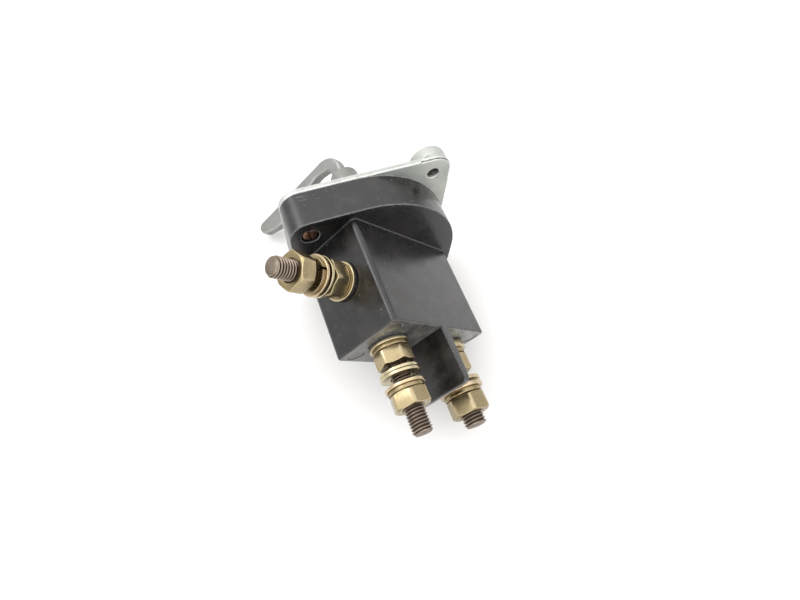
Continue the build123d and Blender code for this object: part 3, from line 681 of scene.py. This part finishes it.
for number, item in enumerate(hardware):
    node, place, low = item["node"], item["place"], item["low"]
    thickness = item["high"] - low
    if node.endswith("nuts"):
        bm = nut(THREADS[place], thickness)
        place_matrix = on_shaft(place, low, NUT_TURNS[node, place])
        material = nut_metal
    elif node == "flat_washers":
        same_stud = [h for h in hardware if h["place"] == place]
        room = min([abs(h["low"] - item["high"]) for h in same_stud if h["low"] > low] or [0])
        tilt = min(WASHER_TILT, degrees(room / item["radius"]) / 2)
        bm = flat_washer(item["hole"], item["radius"], thickness, number)
        place_matrix = on_shaft(place, low, FLAT_WASHER_TURN * number, tilt)
        outermost = max(h["low"] for h in same_stud if h["node"] == "flat_washers")
        material = coppery_washer if low == outermost else washer_metal
    else:
        bm = spring_washer(item["hole"], item["radius"], thickness, SPRING_WASHER_GAP, SPRING_WASHER_LIFT)
        place_matrix = on_shaft(place, low, SPRING_WASHER_START + SPRING_WASHER_TURN * number)
        material = spring_washer_metal
    piece = to_object(bm, f"{node[:-1]}_{place}_{number}", place_matrix, shift=number * 0.1)
    dress(piece, node, material)


# ---------------------------------------------------------------- body screws
def block(size, matrix):
    """A box to cut with."""
    bm = bmesh.new()
    bmesh.ops.create_cube(bm, size=1, matrix=matrix @ Matrix.Diagonal((*size, 1)))
    cutter = bpy.data.objects.new("cutter", bpy.data.meshes.new("cutter"))
    bm.to_mesh(cutter.data)
    bm.free()
    bpy.context.scene.collection.objects.link(cutter)
    return cutter


SCREW_HEAD_T = 3.0 * MM
SCREW_SHANK_R = 1.9 * MM
SCREW_SLOT = (12 * MM, 1.2 * MM, 2.4 * MM)
SCREW_PINHOLE_R = 0.02 * MM  # the profile closes round a hole along the axis, too fine to see
for number, corners in enumerate(solids("body_screws")):
    centre = middle(corners)
    low, high = span(corners, -LOWER_AXIS)
    head_r = max((c - centre).cross(LOWER_AXIS).length for c in corners)
    length = high - low
    profile = [(SCREW_PINHOLE_R, 0), (2.2 * MM, 0.03 * MM), (3.3 * MM, 0.22 * MM), (3.75 * MM, 0.55 * MM),
               (head_r - 0.05 * MM, 1.1 * MM), (head_r - 0.02 * MM, SCREW_HEAD_T - 0.2 * MM),
               (head_r - 0.2 * MM, SCREW_HEAD_T), (SCREW_SHANK_R, SCREW_HEAD_T),
               (SCREW_SHANK_R, length), (SCREW_PINHOLE_R, length)]
    bm = skin([ring(r, z, even_angles(64)) for r, z in profile])
    stand = (Matrix.Translation(Vector((centre.x, -low, centre.z)))
             @ (-LOWER_AXIS).to_track_quat("Z", "Y").to_matrix().to_4x4())
    screw = to_object(bm, f"body_screw_{number}", stand, shift=number)
    cutter = block(SCREW_SLOT, stand @ Matrix.Rotation(radians(25 + 60 * number), 4, "Z"))
    cut = screw.modifiers.new("slot", "BOOLEAN")
    cut.operation = "DIFFERENCE"
    cut.object = cutter
    soften = screw.modifiers.new("soften", "BEVEL")
    soften.width = 0.12 * MM
    soften.segments = 2
    soften.angle_limit = radians(45)
    applied(screw)
    bpy.data.objects.remove(cutter)
    dress(screw, "body_screws", screw_metal)


# ---------------------------------------------------------------- contact spring
# The real coil shortens against its seat in the rotor as the blade lifts; this piece keeps the CAD's length
coil = to_object(welded("contact_spring"), "contact_coil", sharp_deg=60)
dress(coil, "contact_spring", slot_materials["spring_steel"])
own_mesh(coil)


# ---------------------------------------------------------------- castings
def even_skin(node, name, voxel):
    """A piece of even small faces over a CAD node, its edges softened as a casting's are."""
    bm = welded(node)
    piece = to_object(bm, name)
    remesh = piece.modifiers.new("remesh", "REMESH")
    remesh.mode = "VOXEL"
    remesh.voxel_size = voxel
    smooth = piece.modifiers.new("smooth", "SMOOTH")
    smooth.factor = 0.5
    smooth.iterations = 1
    return applied(piece)


def read(mesh):
    """A mesh's points and normals as arrays."""
    co = np.empty(len(mesh.vertices) * 3)
    mesh.vertices.foreach_get("co", co)
    normals = np.empty(len(mesh.vertices) * 3)
    mesh.vertices.foreach_get("normal", normals)
    return co.reshape(-1, 3), normals.reshape(-1, 3)


def write(mesh, co):
    """Puts a mesh's points where the array says, smooths its shading and marks its wear again."""
    mesh.vertices.foreach_set("co", co.ravel())
    mesh.polygons.foreach_set("use_smooth", [True] * len(mesh.polygons))
    mesh.update()
    mark_wear(mesh, 0.8 * MM)


def rough_skin(co, normals, size, depth):
    """How far each point of a casting stands in or out: low waves of about size."""
    return np.array([depth * noise.fractal(Vector(c) / size, 0.8, 2.0, 3) for c in co])[:, None] * normals


hole_circle = next(mount["dims"]["pcd_mm"] for mount in frame["record"]["mounts"]
                   if mount["name"] == "panel_holes")
MOUNT_HOLE = hole_circle / 2 * MM * Vector((1, 0, -1)).normalized()
HOLE_CLEAR = 6 * MM  # the hole's own wall lies nearer to its axis
LOBE_REACH = 13 * MM  # the plate's lobe ends at this distance from the hole's axis
RIM_REACH = 20 * MM  # the plate's outer rim lies further from its middle, along X or Z
# Where the halves of the plate's mould met, along Y, and how far the flash or the seam spreads each way
FLASH_LINE = -0.4 * MM
FLASH_HALF = 0.6 * MM
SEAM_LINE = -0.55 * MM
SEAM_HALF = 0.8 * MM
SEAM_DEPTH = 0.75 * MM
# The lever's mould parted on its middle plane; this is the way across that plane
LEVER_ACROSS = Vector((1, 0, 1)).normalized()
LEVER_RIDGE_HALF = 0.5 * MM


def plate_parting(point, normal):
    """How far a point of the plate's rim stands out: ragged flash, and an open seam on the lobes."""
    flat = Vector((point[0], 0, point[2]))
    from_hole = min((flat - side * MOUNT_HOLE).length for side in (1, -1))
    on_rim = sqrt(normal[0] ** 2 + normal[2] ** 2) > 0.4 and max(abs(point[0]), abs(point[2])) > RIM_REACH
    if not on_rim or from_hole < HOLE_CLEAR:
        return 0.0
    ragged = noise.fractal(flat / (1.3 * MM), 0.7, 2.2, 3)
    if from_hole > LOBE_REACH:
        flash = max(0.0, 1 - abs(point[1] - FLASH_LINE) / FLASH_HALF)
        return flash * (0.1 + 0.45 * max(-0.3, ragged)) * MM
    seam = max(0.0, 1 - abs(point[1] - SEAM_LINE + 0.25 * ragged * MM) / SEAM_HALF)
    return -SEAM_DEPTH * seam


def lever_parting(point, _normal):
    """How far a point of the lever stands out: a low uneven ridge round its middle plane."""
    off_middle = abs(Vector(point).dot(LEVER_ACROSS))
    if off_middle >= LEVER_RIDGE_HALF:
        return 0.0
    ragged = noise.fractal(Vector(point) / (2.0 * MM), 0.7, 2.2, 2)
    return (1 - off_middle / LEVER_RIDGE_HALF) * (0.06 + 0.1 * ragged) * MM


def cast(node, name, voxel, parting, wave_size, wave_depth, material):
    """A casting in place of a CAD node, with its parting line and a slightly uneven skin."""
    piece = even_skin(node, name, voxel)
    co, normals = read(piece.data)
    for i, (point, normal) in enumerate(zip(co, normals)):
        co[i] += normal * parting(point, normal)
    co += rough_skin(co, normals, wave_size, wave_depth)
    write(piece.data, co)
    dress(piece, node, material)


cast("mounting_plate", "cast_plate", (0.49) * MM, plate_parting,
     3.5 * MM, 0.035 * MM, cast_alloy)
cast("lever_handle", "cast_lever", (0.38) * MM, lever_parting,
     4.0 * MM, 0.05 * MM, lever_alloy)


# ---------------------------------------------------------------- floor, light and camera
# The table is level, so this is the way up in the room, seen from the switch's own axes
FLOOR_NORMAL = Vector((0.106, -0.064, 0.992)).normalized()
FLOOR_HALF = 3.0
FLOOR_GAP = 0.05 * MM
SOFTBOX_SIZE = 0.6
SOFTBOX_DISTANCE = 1.2
SOFTBOX_WATTS = 3.0
CAMERA_PLACE = (0.05834, 0.15892, 0.23546)


def make_floor():
    """A pale table that the switch lies on, touching its lowest point."""
    n = Nodes("pale_table")
    cloud = n.noise(30.0, 3.0)
    base = n.mix(cloud, rgb(214, 213, 212), rgb(219, 218, 217))
    rough = n.fade(cloud, 0.3, 0.7, 0.55, 0.65)
    material = n.surface(base, rough, n.bump(n.noise(1.5, 3.0), 0.01), Metallic=0.0)
    lowest = min(Vector(v.co).dot(FLOOR_NORMAL)
                 for node in frame["nodes"].values() for v in node.data.vertices)
    bm = bmesh.new()
    bmesh.ops.create_grid(bm, x_segments=8, y_segments=8, size=FLOOR_HALF)
    floor = bpy.data.objects.new("table", bpy.data.meshes.new("table"))
    bm.to_mesh(floor.data)
    bm.free()
    floor.data.materials.append(material)
    floor.matrix_world = (Matrix.Translation(FLOOR_NORMAL * (lowest - FLOOR_GAP))
                          @ FLOOR_NORMAL.to_track_quat("Z", "Y").to_matrix().to_4x4())
    bpy.context.scene.collection.objects.link(floor)


def make_light():
    """A white tent, brightest overhead, towards one side and behind the switch, and one large soft lamp."""
    bright_side = Vector((0.60, -0.41, 0.69)).normalized()
    rear = Vector((0, 0.95, 0.3))
    world = bpy.data.worlds.new("studio")
    world.use_nodes = True
    tree = world.node_tree
    direction = tree.nodes.new("ShaderNodeTexCoord").outputs["Generated"]
    strength = 0.7
    # Each glow grows from start to full as the direction's cosine to its aim does
    for aim, start, full, gain in ((FLOOR_NORMAL, -0.1, 0.9, 1.2), (bright_side, 0.5, 1.0, 0.2),
                                   (rear, 0.3, 1.0, 0.7)):
        toward = tree.nodes.new("ShaderNodeVectorMath")
        toward.operation = "DOT_PRODUCT"
        tree.links.new(direction, toward.inputs[0])
        toward.inputs[1].default_value = aim
        glow = tree.nodes.new("ShaderNodeMapRange")
        glow.interpolation_type = "SMOOTHSTEP"
        tree.links.new(toward.outputs["Value"], glow.inputs["Value"])
        for key, value in (("From Min", start), ("From Max", full), ("To Min", 0.0), ("To Max", gain)):
            glow.inputs[key].default_value = value
        total = tree.nodes.new("ShaderNodeMath")
        tree.links.new(glow.outputs["Result"], total.inputs[0])
        if isinstance(strength, float):
            total.inputs[1].default_value = strength
        else:
            tree.links.new(strength, total.inputs[1])
        strength = total.outputs[0]
    tree.links.new(strength, tree.nodes["Background"].inputs["Strength"])
    tree.nodes["Background"].inputs["Color"].default_value = (1.0, 1.0, 1.0, 1.0)
    bpy.context.scene.world = world
    lamp = bpy.data.lights.new("softbox", "AREA")
    lamp.shape = "DISK"
    lamp.size = SOFTBOX_SIZE
    lamp.energy = SOFTBOX_WATTS
    softbox = bpy.data.objects.new("softbox", lamp)
    softbox.location = bright_side * SOFTBOX_DISTANCE
    softbox.rotation_euler = (-bright_side).to_track_quat("-Z", "Y").to_euler()
    bpy.context.scene.collection.objects.link(softbox)


def make_camera():
    """Looks down at the rear of the switch as it lies on its lever."""
    right = Vector((-0.9310, 0.3586, 0.0682)).normalized()
    forward = Vector((-0.2236, -0.4126, -0.8830)).normalized()
    up = right.cross(forward).normalized()
    lens = bpy.data.cameras.new("camera")
    lens.sensor_width = 36.0
    lens.lens = 22.0
    lens.clip_start = 0.005
    lens.clip_end = 20.0
    camera = bpy.data.objects.new("camera", lens)
    turn = Matrix((right, up, -forward)).transposed()
    camera.matrix_world = Matrix.Translation(CAMERA_PLACE) @ turn.to_4x4()
    bpy.context.scene.collection.objects.link(camera)
    bpy.context.scene.camera = camera


make_floor()
make_light()
make_camera()
bpy.context.scene.view_settings.view_transform = "Standard"

bpy.context.view_layer.update()
